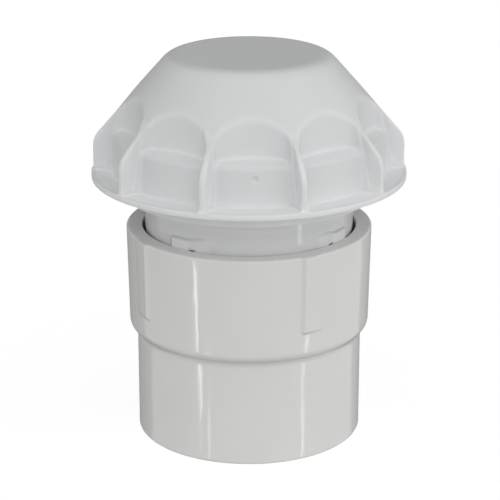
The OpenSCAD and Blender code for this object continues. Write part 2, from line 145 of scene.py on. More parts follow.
class Nodes:
    """A node tree that is filled by plain calls."""

    def __init__(self, tree: bpy.types.NodeTree) -> None:
        """Empties the tree and keeps it."""
        tree.nodes.clear()
        self.tree = tree

    def add(self, kind: str, settings: Settings = None, sockets: Sockets = None) -> bpy.types.Node:
        """Adds a node of any type.

        Args:
            kind: The node's type name.
            settings: The node's own properties, which are set first.
            sockets: A value, wire, node or output for each named or numbered input.

        Returns:
            The new node.
        """
        node = self.tree.nodes.new(kind)
        for name, value in (settings or {}).items():
            setattr(node, name, value)
        for key, value in (sockets or {}).items():
            if isinstance(value, bpy.types.Node):
                value = value.outputs[0]
            elif isinstance(value, Wire):
                value = value.socket
            if isinstance(value, bpy.types.NodeSocket):
                self.tree.links.new(value, node.inputs[key])
            else:
                node.inputs[key].default_value = value
        return node

    def wire(
        self, kind: str, settings: Settings = None, sockets: Sockets = None, output: str | int = 0
    ) -> Wire:
        """Adds a node and returns one of its outputs, by name or number, ready for sums."""
        return Wire(self, self.add(kind, settings, sockets).outputs[output])

    def place(self) -> Wire:
        """The point on the surface, in the object's own frame."""
        return self.wire("ShaderNodeTexCoord", output="Object")

    def attribute(self, name: str) -> Wire:
        """A number stored for each point of the mesh."""
        return self.wire("ShaderNodeAttribute", {"attribute_name": name}, output="Fac")

    def parts(self, vector: Wire) -> tuple[Wire, Wire, Wire]:
        """The three numbers of a vector."""
        node = self.add("ShaderNodeSeparateXYZ", sockets={0: vector})
        return tuple(Wire(self, socket) for socket in node.outputs)

    def noise(self, vector: Wire, grain: float, detail: float = 2.0) -> Wire:
        """Cloudy noise from 0 to 1, by the size of a cloud in millimetres and its finer layers."""
        sockets = {"Vector": vector, "Scale": 1.0 / (grain * MM), "Detail": detail}
        return self.wire("ShaderNodeTexNoise", None, sockets)

    def specks(self, vector: Wire, pitch: float, size: float) -> Wire:
        """Round specks, 1 in their middles, by their mean distance in millimetres and their share of it."""
        sockets = {"Vector": vector, "Scale": 1.0 / (pitch * MM), "Randomness": 1.0}
        return self.wire("ShaderNodeTexVoronoi", None, sockets, "Distance").step(size, size * 0.4)

    def blend(self, share: Wire | float, first: Any, second: Any) -> Wire:
        """A colour that goes from the first to the second as the share goes from 0 to 1."""
        return self.wire("ShaderNodeMix", {"data_type": "RGBA"}, {0: share, 6: first, 7: second}, 2)


class Wire:
    """A node's output. Sums on it add Math nodes."""

    def __init__(self, nodes: Nodes, socket: bpy.types.NodeSocket) -> None:
        """Keeps the tree and the output."""
        self.nodes = nodes
        self.socket = socket

    def math(self, operation: str, *others: Wire | float) -> Wire:
        """One Math node on this number, with its other inputs in order."""
        sockets = dict(enumerate((self, *others)))
        return self.nodes.wire("ShaderNodeMath", {"operation": operation}, sockets)

    __add__ = partialmethod(math, "ADD")
    __radd__ = partialmethod(math, "ADD")
    __sub__ = partialmethod(math, "SUBTRACT")
    __mul__ = partialmethod(math, "MULTIPLY")
    __neg__ = partialmethod(math, "MULTIPLY", -1.0)
    __pow__ = partialmethod(math, "POWER")

    def step(self, low: float, high: float) -> Wire:
        """A smooth step from 0 at low to 1 at high, where low may be the larger."""
        sockets = {"Value": self, "From Min": low, "From Max": high}
        return self.nodes.wire("ShaderNodeMapRange", {"interpolation_type": "SMOOTHSTEP"}, sockets)


class Look(NamedTuple):
    """What a finish works out over the surface. The height is in millimetres."""

    colour: Wire
    roughness: Wire
    height: Wire


@dataclass(frozen=True)
class Finish:
    """Moulded plastic: its colour, the darker colour it clouds to, and its gloss."""

    slot: Slot
    colour: Colour
    shade: Colour
    roughness: float = 0.4
    gloss: float = 0.5
    cloud: float = 18.0
    grain: float = 0.5
    grain_height: float = 0.004
    cloud_share: float = 0.6
    cloud_rough: float = 0.12
    grain_rough: float = 0.05

    def look(self, nodes: Nodes) -> Look:
        """Faint clouds in the colour and the gloss, and a fine moulded grain.

        Args:
            nodes: The material's tree.

        Returns:
            Its look.
        """
        place = nodes.place()
        clouds = nodes.noise(place, self.cloud, 3.0)
        fine = nodes.noise(place, self.grain)
        colour = nodes.blend(clouds.step(0.35, 0.75) * self.cloud_share, self.colour, self.shade)
        roughness = self.roughness + (clouds - 0.5) * self.cloud_rough + (fine - 0.5) * self.grain_rough
        return Look(colour, roughness, fine * self.grain_height)

    def material(self) -> bpy.types.Material:
        """Builds the material.

        Returns:
            A material named after its slot.
        """
        material = bpy.data.materials.new(self.slot.value)
        material.use_nodes = True
        nodes = Nodes(material.node_tree)
        look = self.look(nodes)
        bump = nodes.add("ShaderNodeBump", None, {"Distance": MM, "Height": look.height})
        sockets = {
            "Base Color": look.colour,
            "Roughness": look.roughness,
            "Specular IOR Level": self.gloss,
            "Normal": bump,
        }
        shader = nodes.add("ShaderNodeBsdfPrincipled", None, sockets)
        nodes.add("ShaderNodeOutputMaterial", None, {"Surface": shader})
        return material


@dataclass(frozen=True)
class CapFinish(Finish):
    """Satin cap plastic, with painted light on its ribs, arches, ledges and flange, and painted shade on
    its crown.
    """

    # Painted light: the paler colour that the ribs, arches, ledges and flange blend to, in place of the
    # light and highlights they catch.
    edge: Colour = (0.85, 0.858, 0.864, 1.0)
    # Painted shade: the darker colour of the crown, from the top of its rounding up.
    crown: Colour = (0.625, 0.632, 0.637, 1.0)
    crown_painted_shade_from: float = 172.6
    crown_painted_shade_to: float = 174.0
    edge_rough: float = 0.08

    def look(self, nodes: Nodes) -> Look:
        """The moulded look, with painted light on the cap's edges, which are also a little rougher, and
        painted shade on its crown.

        Args:
            nodes: The material's tree.

        Returns:
            Its look.
        """
        base = super().look(nodes)
        # Painted light on the edges, read from the mark on the cap's mesh.
        painted_edge_light = nodes.attribute("painted_edge_light")
        colour = nodes.blend(painted_edge_light, base.colour, self.edge)
        # Painted shade: the crown blends to a darker colour between these two heights and above them.
        level = nodes.parts(nodes.place())[2]
        colour = nodes.blend(level.step(self.crown_painted_shade_from * MM, self.crown_painted_shade_to * MM), colour, self.crown)
        return Look(colour, base.roughness + painted_edge_light * self.edge_rough, base.height)


@dataclass(frozen=True)
class NeckFinish(Finish):
    """Satin body plastic, with painted light on the neck towards the air inlet, against the shade under the
    cap, and painted light and a painted shade line on its lugs.
    """

    # Painted light: the paler colour of the neck near the inlet, against the shade under the cap.
    inlet_painted_light: Colour = (0.79, 0.797, 0.797, 1.0)
    inlet_painted_light_from: float = 104.0
    inlet_painted_light_to: float = 110.5
    # Painted light: the paler colour of the lugs' faces, for the light their proud faces catch.
    face_painted_light: Colour = (0.67, 0.677, 0.677, 1.0)

    def look(self, nodes: Nodes) -> Look:
        """The moulded look, with painted light towards the inlet and on the lugs' faces, and a line of
        painted shade over each lug.

        Args:
            nodes: The material's tree.

        Returns:
            Its look.
        """
        base = super().look(nodes)
        level = nodes.parts(nodes.place())[2]
        # Painted light: the neck grows paler towards the inlet, where the cap shades it.
        colour = nodes.blend(level.step(self.inlet_painted_light_from * MM, self.inlet_painted_light_to * MM), base.colour, self.inlet_painted_light)
        # Painted light on the lugs' faces.
        colour = nodes.blend(nodes.attribute("lug_painted_light"), colour, self.face_painted_light)
        # Painted shade: a dark line over each lug and over its run-out, in the finish's darker colour.
        colour = nodes.blend(nodes.attribute("lug_painted_shade"), colour, self.shade)
        return Look(colour, base.roughness, base.height)


@dataclass(frozen=True)
class PipeFinish(Finish):
    """Glossy pipe plastic, with slow waves in its walls and a turned, matt rim whose paler colour is
    painted light against the shade under the cap.
    """

    rim_from: float = 96.25
    rim_to: float = 96.45
    rim_rough: float = 0.4
    # Painted light: the rim's flat face is paler than the wall, against the shade under the cap; its tool
    # marks and torn patches are its own.
    rim_colour: Colour = (0.77, 0.77, 0.76, 1.0)
    rim_shade: Colour = (0.70, 0.70, 0.69, 1.0)
    speck: Colour = (0.36, 0.36, 0.35, 1.0)
    speck_pitch: float = 5.0
    speck_size: float = 0.045
    speck_share: float = 0.5
    speck_rough: float = 0.1
    wave: float = 6.5
    wave_height: float = 0.13
    wave_scale: tuple[float, float, float] = (1.0, 1.0, 0.45)
    tear: float = 0.8
    tool_pitch: float = 0.35
    tool_height: float = 0.012

    def look(self, nodes: Nodes) -> Look:
        """Gloss with slow waves up the wall, sparse specks, and tool marks round the rim's flat face.

        Args:
            nodes: The material's tree.

        Returns:
            Its look.
        """
        base = super().look(nodes)
        place = nodes.place()
        x, y, z = nodes.parts(place)
        rim = z.step(self.rim_from * MM, self.rim_to * MM)
        reach = (x * x + y * y) ** 0.5
        turns = (reach * (2.0 * math.pi / (self.tool_pitch * MM))).math("SINE")
        tears = nodes.noise(place, self.tear, 3.0)
        tall = nodes.wire("ShaderNodeVectorMath", {"operation": "MULTIPLY"}, {0: place, 1: self.wave_scale})
        waves = nodes.noise(tall, self.wave, 1.0)
        specks = nodes.specks(place, self.speck_pitch, self.speck_size)
        torn = tears.step(0.45, 0.75) * rim
        colour = nodes.blend(specks * self.speck_share, base.colour, self.speck)
        colour = nodes.blend(rim, colour, nodes.blend(torn, self.rim_colour, self.rim_shade))
        roughness = base.roughness + rim * self.rim_rough + specks * self.speck_rough
        marks = (turns * 0.5 + tears * 2.0) * rim * self.tool_height
        return Look(colour, roughness, base.height + waves * self.wave_height + marks)


@dataclass(frozen=True)
class RubberFinish(Finish):
    """Moulded rubber with a dull bloom."""

    bloom: Colour = (0.16, 0.16, 0.165, 1.0)
    bloom_size: float = 3.0
    bloom_share: float = 0.35
    bloom_rough: float = 0.15

    def look(self, nodes: Nodes) -> Look:
        """The moulded look with patches of pale bloom.

        Args:
            nodes: The material's tree.

        Returns:
            Its look.
        """
        base = super().look(nodes)
        bloom = nodes.noise(nodes.place(), self.bloom_size, 4.0).step(0.5, 0.8)
        colour = nodes.blend(bloom * self.bloom_share, base.colour, self.bloom)
        return Look(colour, base.roughness + bloom * self.bloom_rough, base.height)


CAP_WHITE = CapFinish(
    Slot.CAP, (0.69, 0.698, 0.703, 1.0), (0.66, 0.668, 0.673, 1.0), 0.42, 0.4, 22.0, 0.45, 0.006
)
PIPE_WHITE = PipeFinish(
    Slot.ADAPTER, (0.714, 0.711, 0.692, 1.0), (0.687, 0.683, 0.665, 1.0), 0.13, 0.5, 30.0, 0.6, 0.001
)
BODY_WHITE = NeckFinish(
    Slot.BODY, (0.625, 0.631, 0.631, 1.0), (0.60, 0.606, 0.606, 1.0), 0.13, 0.5, 16.0, 0.5, 0.003
)
# The screens' own pale plastic, lifted a little as painted light against the shade under the cap.
SCREEN_GREY = Finish(
    Slot.SCREEN, (0.77, 0.775, 0.775, 1.0), (0.74, 0.745, 0.745, 1.0), 0.45, 0.4, 6.0, 0.3, 0.006
)
CARRIER_GREY = Finish(
    Slot.CARRIER, (0.56, 0.585, 0.61, 1.0), (0.50, 0.525, 0.55, 1.0), 0.40, 0.4, 9.0, 0.3, 0.005
)
MEMBRANE_RUBBER = RubberFinish(
    Slot.MEMBRANE, (0.040, 0.043, 0.047, 1.0), (0.030, 0.032, 0.035, 1.0), 0.55, 0.3, 7.0, 0.25, 0.01
)
SEAL_RUBBER = RubberFinish(
    Slot.SEAL, (0.012, 0.012, 0.013, 1.0), (0.008, 0.008, 0.009, 1.0), 0.5, 0.3, 5.0, 0.25, 0.01
)


class Turned:
    """Closed shells whose points lie on rows round the axis."""

    @staticmethod
    def rounded(corners: Sequence[tuple[float, float, float]], steps: int = 9) -> Array:
        """An open profile with its corners rounded.

        A corner's arc touches its sides at the radius times the tangent of half the turn from the corner,
        and is a quadratic curve with the cosine of half the turn as the corner's weight.

        Args:
            corners: Radius, height and rounding of each corner, in order.
            steps: Points on each arc.

        Returns:
            Radius and height of each point, one row each.
        """
        points = [np.array([corners[0][:2]])]
        share = np.linspace(0.0, 1.0, steps)[:, None]
        for before, corner, after in zip(corners, corners[1:], corners[2:]):
            at = np.array(corner[:2])
            back = np.array(before[:2]) - at
            on = np.array(after[:2]) - at
            back /= np.linalg.norm(back)
            on /= np.linalg.norm(on)
            half = (math.pi - math.acos(np.clip(back @ on, -1.0, 1.0))) / 2.0
            touch = corner[2] * math.tan(half)
            if touch < 1e-6:
                points.append(at[None, :])
                continue
            weight = math.cos(half)
            first, middle, last = (1 - share) ** 2, 2 * weight * share * (1 - share), share**2
            arc = first * (at + touch * back) + middle * at + last * (at + touch * on)
            points.append(arc / (first + middle + last))
        points.append(np.array([corners[-1][:2]]))
        return np.concatenate(points)

    @staticmethod
    def shell(name: str, reach: Array, height: Array, turn: Array, looped: bool = False) -> Piece:
        """A closed mesh from rows of points round the axis.

        Rows run down the outside and back up the inside, so that faces point outwards.

        Args:
            name: Name of the piece.
            reach: Distance from the axis, rows by columns.
            height: Height, rows by columns.
            turn: Direction of each column in radians, all round once.
            looped: Whether the last row joins the first; otherwise a pole closes each end.

        Returns:
            The new object, at the origin.
        """
        rows, columns = reach.shape
        points = polar(reach, turn, height).reshape(-1, 3)
        here = np.arange(columns)
        beside = np.roll(here, -1)
        count = np.arange(rows if looped else rows - 1)
        start = (count * columns)[:, None]
        under = ((count + 1) % rows * columns)[:, None]
        quads = np.stack([start + here, under + here, under + beside, start + beside], axis=-1)
        faces = quads.reshape(-1, 4).tolist()
        if not looped:
            poles = np.array([[0.0, 0.0, height[0].mean()], [0.0, 0.0, height[-1].mean()]])
            points = np.concatenate([points, poles])
            last = (rows - 1) * columns
            top = np.full(columns, rows * columns)
            faces += np.stack([top, here, beside], axis=-1).tolist()
            faces += np.stack([top + 1, last + beside, last + here], axis=-1).tolist()
        piece = new_piece(name, points * MM, faces, True)
        piece.data.set_sharp_from_angle(angle=math.radians(SHARP_ANGLE))
        return piece


@dataclass
class RibbedCap:
    """The cap: a cone over a flanged skirt, with pockets scooped between its ribs."""

    rim_r: float = 70.1
    rim_thick: float = 2.7
    rim_rise: float = 0.4
    rib_r: float = 69.2
    rib_thick: float = 2.6
    rib_count: int = 10
    root_thick: float = 4.4
    root_r: float = 64.8
    root_lean: float = 13.4
    turn: float = 1.5
    cone_angle: float = 41.4
    cone_foot: float = 16.9
    rib_round: float = 9.8
    crown_round: float = 9.6
    crown_band: float = 5.0
    skirt_r: float = 60.8
    skirt_draft: float = 3.0
    ledge_z: float = 19.7
    ledge_slope: float = 18.6
    scallop_r: float = 40.0
    pocket_r: float = 50.2
    foot_scallop_r: float = 150.0
    foot_r: float = 52.5
    wall: float = 2.6
    gate_d: float = 3.2
    gate_depth: float = 0.9
    gate_edge: float = 0.08
    gate_z: float = 15.0
    gate_turn: float = 0.8
    edge_round: float = 0.5
    # Shares of painted light on the ribs, the ledges, the arches and the flange.
    rib_painted_light: float = 0.45
    ledge_painted_light: float = 0.42
    arch_painted_light: float = 0.2
    rim_painted_light: float = 0.45
    rib_edge: float = 0.8
    root_edge: float = 0.8
    root_fillet: float = 2.4
    step_fillet: float = 0.8
    arch_edge: float = 1.0
    ledge_edge: float = 1.4
    ledge_fillet: float = 1.2
    skirt_fillet: float = 1.2
    chamber_r: float = 57.22
    seal_r: float = 59.32
    seal_top: float = 2.1
    bead_z: float = 3.70
    bead_groove: float = 1.1
    bead_inset: float = 0.4

    def __post_init__(self) -> None:
        """Reads the cap's place and height from its CAD node, and draws its outline and its columns."""
        low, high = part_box("cap")
        self.level = low.z / MM
        self.height = (high.z - low.z) / MM
        cone_top = self.rib_r - (self.height - self.cone_foot) * slope(self.cone_angle)
        outline = [
            (0.0, self.height, 0.0),
            (cone_top, self.height, self.crown_round),
            (self.rib_r, self.cone_foot, self.rib_round),
            (self.rib_r, self.rim_thick + self.edge_round, 0.0),
            (self.rim_r, self.rim_thick, self.edge_round),
            (self.rim_r, 0.0, self.edge_round),
            (self.seal_r, 0.0, 0.0),
        ]
        self.outline = Turned.rounded(outline)
        self.half = math.pi / self.rib_count
        self.turns, self.from_rib, self.from_gate = self.columns()
        self.from_pocket = self.half - self.from_rib
        self.wall_foot = self.ledge_top(self.foot_r)
        self.wall_top = self.cone_foot + (self.rib_r - self.pocket_r) / slope(self.cone_angle)

    def ledge_top(self, reach: Values) -> Values:
        """Height of the ledge's slope at a distance from the axis."""
        skirt_top = self.skirt_r - self.ledge_z * slope(self.skirt_draft)
        return self.ledge_z + (skirt_top - reach) * slope(self.ledge_slope)

    def hollow(self, height: Values) -> tuple[Values, Values]:
        """The circle of a pocket's wall, seen from above.

        Its bend, one over its radius, and its nearest point grow evenly from the ledge up to the arch.

        Args:
            height: Height above the rim.

        Returns:
            The circle's radius, and its middle's distance from the axis.
        """
        share = np.clip((height - self.wall_foot) / (self.wall_top - self.wall_foot), 0.0, 1.0)
        radius = 1.0 / ((1.0 - share) / self.foot_scallop_r + share / self.scallop_r)
        return radius, self.foot_r + (self.pocket_r - self.foot_r) * share + radius

    def scallop_reach(self, turn: Values, height: Values, wall: float = 0.0) -> Values:
        """Distance to a pocket's circle, grown by a wall, at a turn from its middle: the nearer root."""
        radius, middle = self.hollow(height)
        return middle * np.cos(turn) - np.sqrt((radius + wall) ** 2 - (middle * np.sin(turn)) ** 2)

    @staticmethod
    def filled(first: Array, second: Array, radius: float) -> Array:
        """Two solids joined, with a hollow fillet of that radius between their faces."""
        corner = np.hypot(np.maximum(radius - first, 0.0), np.maximum(radius - second, 0.0))
        return np.maximum(radius, np.minimum(first, second)) - corner

    @staticmethod
    def eased(first: Array, second: Array, radius: float) -> Array:
        """What two solids share, with the edge between their faces rounded to that radius."""
        corner = np.hypot(np.maximum(first + radius, 0.0), np.maximum(second + radius, 0.0))
        return np.minimum(-radius, np.maximum(first, second)) + corner

    def beyond_envelope(self, reach: Array, height: Array) -> Array:
        """How far a point lies outside the envelope of crown, cone and rim.

        It is the distance along the radius times the cosine of the outline's lean.

        Args:
            reach: Distance from the axis.
            height: Height above the rim.

        Returns:
            The distance.
        """
        probe = 0.05
        steepest = 3.0
        upright = np.argsort(self.outline[:, 1], kind="stable")
        radii, levels = self.outline[upright].T
        line = np.interp(height, levels, radii)
        lean = (line - np.interp(height + probe, levels, radii)) / probe
        return (reach - line) / np.sqrt(1.0 + np.clip(lean, -steepest, steepest) ** 2)

    def beyond_wall(self, reach: Array, height: Array) -> Array:
        """How far a point lies outside the wall at a pocket's back, which is how far inside its circle."""
        radius, middle = self.hollow(height)
        return radius - np.sqrt(reach**2 + middle**2 - 2.0 * reach * middle * np.cos(self.from_pocket))

    def outside(self, reach: Array, height: Array) -> Array:
        """How far a point lies outside the cap's outer skin; negative inside it.

        The ledge's block, the hollow wall and the flange are joined with fillets, and the envelope trims
        them. A slab for each rib and a thicker one for its root are joined on, and the gate's ball is taken
        out.

        Args:
            reach: Distance from the axis.
            height: Height above the rim.

        Returns:
            The distance.
        """
        envelope = self.beyond_envelope(reach, height)
        draft = math.radians(self.skirt_draft)
        skirt = (reach - self.skirt_r + height * math.tan(draft)) * math.cos(draft)
        ledge = (height - self.ledge_top(reach)) * math.cos(math.radians(self.ledge_slope))
        fall = self.rim_rise / (self.rim_r - self.skirt_r)
        flange = height - self.rim_thick - (self.rim_r - reach) * fall
        block = self.eased(ledge, skirt, self.ledge_edge)
        floor = self.filled(block, self.beyond_wall(reach, height), self.ledge_fillet)
        floor = self.filled(floor, flange, self.skirt_fillet)
        core = self.eased(floor, envelope, self.arch_edge)
        aside = np.abs(reach * np.sin(self.from_rib))
        rib = self.eased(aside - self.rib_thick / 2.0, envelope, self.rib_edge)
        lean = math.radians(self.root_lean)
        edge = reach * np.cos(self.from_rib) - self.root_r + height * math.tan(lean)
        edge = edge * math.cos(lean)
        root = self.eased(aside - self.root_thick / 2.0, edge, self.root_edge)
        root = self.eased(root, envelope, self.root_edge)
        ribs = self.filled(rib, root, self.step_fillet)
        solid = np.maximum(self.filled(core, ribs, self.root_fillet), envelope)
        ball_r = ((self.gate_d / 2.0) ** 2 + self.gate_depth**2) / (2.0 * self.gate_depth)
        gate_wall = self.skirt_r - self.gate_z * math.tan(draft)
        ahead = reach * np.cos(self.from_gate) - (gate_wall + ball_r - self.gate_depth)
        beside = reach * np.sin(self.from_gate)
        to_ball = np.sqrt(ahead**2 + beside**2 + (height - self.gate_z) ** 2)
        return self.eased(solid, ball_r - to_ball, self.gate_edge)

    def columns(self) -> tuple[Array, Array, Array]:
        """Directions of the mesh's columns, close together at the ribs and at the gate.

        Returns:
            Each column's angle from the front, from its nearest rib and from the gate, in radians.
        """
        half = 180.0 / self.rib_count
        at_rib = [(0.0, 0.6, 3), (0.74, 0.98, 4), (1.03, 1.33, 9), (1.42, 1.84, 5), (1.91, 2.43, 9)]
        beside = spaced(*at_rib, (2.6, 4.3, 6), (5.0, half, 11))
        sector = np.concatenate([-beside[:0:-1], beside[:-1]])
        ribs = half + np.arange(self.rib_count) * 2.0 * half
        around = (ribs[:, None] + sector[None, :]).ravel()
        dimple = self.gate_turn + np.linspace(-2.4, 2.4, 21)
        around = np.unique(np.concatenate([around, dimple]).round(5) % 360.0)
        from_rib = np.abs((around % (2.0 * half)) - half)
        gate = (around - self.gate_turn + 180.0) % 360.0 - 180.0
        return np.radians(around + self.turn), np.radians(from_rib), np.radians(gate)

    def levels(self) -> Array:
        """Heights of the outer rows, which follow the arches and the ledges.

        Each column is cut at the cone's top, the arch, the ledge's back and front, round the gate, and at
        the flange's edges. Each stretch between is divided with its rows closer at both ends.

        Returns:
            Heights above the rim, rows by columns.
        """
        from_pocket = self.half - np.maximum(self.from_rib, self.root_thick / 2.0 / self.skirt_r)
        back = self.scallop_reach(from_pocket, self.wall_foot)
        arch = self.wall_top
        for _ in range(12):
            reach = self.scallop_reach(from_pocket, arch)
            arch = self.cone_foot + (self.rib_r - reach) / slope(self.cone_angle)
        gate_half = self.gate_d * 0.7
        cuts = [self.height - self.crown_band, arch, self.ledge_top(back), self.ledge_z]
        cuts += [self.gate_z + gate_half, self.gate_z - gate_half]
        cuts += [self.rim_thick + self.rim_rise, self.rim_thick, 0.0]
        counts = [8, 13, 11, 6, 9, 9, 10, 6]
        bunched = 0.65
        cuts = [np.broadcast_to(cut, self.from_rib.shape) for cut in cuts]
        rows = []
        for upper, lower, count in zip(cuts, cuts[1:], counts):
            even = np.linspace(0.0, 1.0, count + 1)[:-1, None]
            share = bunched * (1.0 - np.cos(math.pi * even)) / 2.0 + (1.0 - bunched) * even
            rows.append(upper + (lower - upper) * share)
        rows.append(cuts[-1][None, :])
        return np.concatenate(rows)

    def skin(self, levels: Array) -> Array:
        """Distance from the axis to the outer skin, found by halving the interval that holds it.

        Args:
            levels: Heights of the rows.

        Returns:
            The distance, rows by columns.
        """
        core, margin = 20.0, 2.0
        inner = np.full_like(levels, core)
        outer = np.full_like(levels, self.rim_r + margin)
        for _ in range(40):
            middle = (inner + outer) / 2.0
            beyond = self.outside(middle, levels) > 0.0
            outer = np.where(beyond, middle, outer)
            inner = np.where(beyond, inner, middle)
        return inner

    def inner_rows(self) -> tuple[Array, Array]:
        """Rows of the hollow: seal corner, snap groove, round chamber, and the lobed dome above it.

        Returns:
            Distances from the axis and heights, rows by columns.
        """
        cone = slope(self.cone_angle)
        under = self.wall / math.cos(math.radians(self.ledge_slope))
        inset = self.wall / math.cos(math.radians(self.cone_angle))
        deepest = min(self.scallop_reach(self.half, self.wall_top, self.wall), self.chamber_r)
        lobe = self.scallop_reach(self.from_pocket, self.wall_top, self.wall)
        lobe = np.minimum(lobe, deepest - self.rib_thick)
        top = self.height - self.wall
        crown = self.rib_r - (top - self.cone_foot) * cone - inset
        lobe_top = self.cone_foot + (self.rib_r - inset - lobe) / cone
        foot = self.ledge_top(lobe) - under
        before, after = 1.6, 2.4
        rows = [
            (self.seal_r, 0.0),
            (self.seal_r, self.seal_top),
            (self.chamber_r, self.seal_top),
            (self.chamber_r, self.bead_z - self.bead_groove),
            (self.chamber_r - self.bead_inset + self.bead_groove, self.bead_z),
            (self.chamber_r, self.bead_z + self.bead_groove),
            (self.chamber_r, self.ledge_top(self.chamber_r) - under),
            (lobe, foot),
            (lobe, (foot + lobe_top) / 2.0),
            (lobe, lobe_top),
            ((lobe + crown) / 2.0, (lobe_top + top) / 2.0),
            (crown + before, top - before / cone),
            (crown - after, top),
            (crown / 2.0, top),
        ]
        reach, height = zip(*[np.broadcast_arrays(*row, self.from_rib)[:2] for row in rows])
        return np.stack(reach), np.stack(height)

    def painted_edge_light_share(self, skin: Array, levels: Array) -> Array:
        """How much painted light the ribs, the flange, the ledges and the arches carry, as a paler colour
        in place of the light and highlights they catch.

        Each fades over a band of its own, by distances in millimetres, and the strongest counts.

        Args:
            skin: Distance from the axis to the outer skin, rows by columns.
            levels: Heights of the rows.

        Returns:
            Shares from 0 to 1, rows by columns.
        """
        rib = smooth(fade(np.abs(skin * np.sin(self.from_rib)), 1.0, 2.4))
        rib = rib * fade(self.skirt_r - skin, -4.0, 0.0)
        rim = np.maximum(fade(skin - self.rim_r, -1.8, -1.0), self.rim_painted_light)
        flange = fade(levels - self.rim_thick, 0.4, 0.9) * rim
        skirt = self.skirt_r - levels * slope(self.skirt_draft)
        ledge = fade(np.abs(levels - self.ledge_top(skin)), 0.36, 0.96) * fade(skin - skirt, -1.4, -0.4)
        arch = fade(np.abs(self.beyond_envelope(skin, levels)), 0.4, 1.4)
        arch = arch * fade(np.abs(self.beyond_wall(skin, levels)), 0.4, 1.4)
        shares = [self.rib_painted_light * rib, flange, self.ledge_painted_light * ledge, self.arch_painted_light * arch]
        return np.maximum.reduce(shares)

    def build(self) -> Piece:
        """Builds the shell and marks the painted light on its edges.

        Returns:
            The cap, at the origin.
        """
        levels = self.levels()
        skin = self.skin(levels)
        along = np.concatenate([[0.0], np.cumsum(np.hypot(*np.diff(self.outline, axis=0).T))])
        stop = np.interp(self.crown_band - self.height, -self.outline[:, 1], along)
        steps = spaced((3.0, 26.0, 4), (28.0, stop, 13))[:-1]
        whole = np.ones_like(self.turns)
        crown = [np.interp(steps, along, side)[:, None] * whole for side in self.outline.T]
        inner_reach, inner_height = self.inner_rows()
        reach = np.concatenate([crown[0], skin, inner_reach])
        height = np.concatenate([crown[1], levels, inner_height])
        cap = Turned.shell("ribbed_cap", reach, height + self.level, self.turns)
        # Painted light on the outer rows' edges; the crown rows and the hollow get none.
        painted_light = self.painted_edge_light_share(skin, levels).ravel()
        painted_edge_light = np.zeros(len(cap.data.vertices))
        painted_edge_light[crown[0].size : crown[0].size + painted_light.size] = painted_light
        mark(cap, "painted_edge_light", painted_edge_light)
        return cap

    def dress(self) -> None:
        """Puts the cap in place of its CAD node."""
        cap = self.build()
        cap.data.materials.append(CAP_WHITE.material())
        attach(cap, Body.HOUSING.value)
        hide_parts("cap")


@dataclass
class PipeAdapter:
    """The adapter: a barrel, a sloping shoulder and a hub with soft-edged pads.

    A pad stands proudest at its end nearer the front and falls away towards the other.
    """

    barrel_r: float = 50.8
    socket_r: float = 44.6
    socket_depth: float = 38.1
    waterway_r: float = 38.9
    floor_z: float = 46.7
    shoulder_z: float = 50.8
    shoulder_fall: float = 3.0
    shoulder_round: float = 4.2
    hub_r: float = 54.2
    rim_r: float = 55.1
    rim_z: float = 96.5
    bore_r: float = 47.95
    edge_round: float = 1.0
    pad_count: int = 4
    pad_turn: float = 31.0
    pad_angle: float = 11.8
    pad_depth: float = 1.5
    pad_height: float = 34.9
    pad_near: float = 1.0
    pad_far: float = 0.4
    pad_foot: float = 1.0
    pad_fall: float = 0.95

    def columns(self) -> tuple[Array, Array]:
        """Directions of the mesh's columns, close together at the pads' ends.

        Returns:
            Each column's angle from the front, and from its nearest pad's middle away from the front.
        """
        pitch = 360.0 / self.pad_count
        end = self.pad_angle / 2.0
        beside = spaced((0.0, end - 1.8, 3), (end - 1.5, end + 1.5, 21), (end + 1.9, pitch / 2.0, 16))
        sector = np.concatenate([-beside[:0:-1], beside[:-1]])
        middles = np.arange(self.pad_count)[:, None] * pitch + self.pad_turn
        away = np.where(middles % 360.0 < 180.0, 1.0, -1.0)
        return (middles + sector).ravel(), (away * sector).ravel()

    def profile(self) -> tuple[Array, int]:
        """The closed outline, from the rim down the outside and back up the inside.

        Returns:
            Radius and height of each point, and how many of them lie on the hub's outside.
        """
        steps = 9
        middle = (self.rim_r + self.bore_r) / 2.0
        corners = [
            (middle, self.rim_z, 0.0),
            (self.rim_r, self.rim_z, self.edge_round),
            (self.hub_r, self.shoulder_z, self.shoulder_round),
            (self.barrel_r, self.shoulder_z - self.shoulder_fall, self.shoulder_round),
            (self.barrel_r, 0.0, self.edge_round),
            (self.socket_r, 0.0, self.edge_round / 2.0),
            (self.socket_r, self.socket_depth, 0.0),
            (self.waterway_r, self.socket_depth, 0.0),
            (self.waterway_r, self.floor_z, self.edge_round),
            (self.bore_r, self.floor_z, 0.0),
            (self.bore_r, self.rim_z, self.edge_round / 2.0),
            (middle, self.rim_z, 0.0),
        ]
        line = Turned.rounded(corners, steps)[:-1]
        foot = self.rim_z - self.pad_height
        levels = spaced(
            (self.rim_z - 1.6, foot + 2.2, 9),
            (foot + 1.6, foot - 1.6, 25),
            (foot - 2.2, self.shoulder_z + 2.6, 5),
        )
        share = (levels - self.shoulder_z) / (self.rim_z - self.shoulder_z)
        wall = np.stack([self.hub_r + share * (self.rim_r - self.hub_r), levels], axis=-1)
        straight = np.linspace(self.shoulder_z - self.shoulder_fall - 2.4, self.edge_round + 0.5, 14)
        barrel = np.stack([np.full_like(straight, self.barrel_r), straight], axis=-1)
        hub = 1 + steps
        shoulder = hub + 2 * steps
        line = np.concatenate([line[:hub], wall, line[hub:shoulder], barrel, line[shoulder:]])
        return line, hub + len(wall)

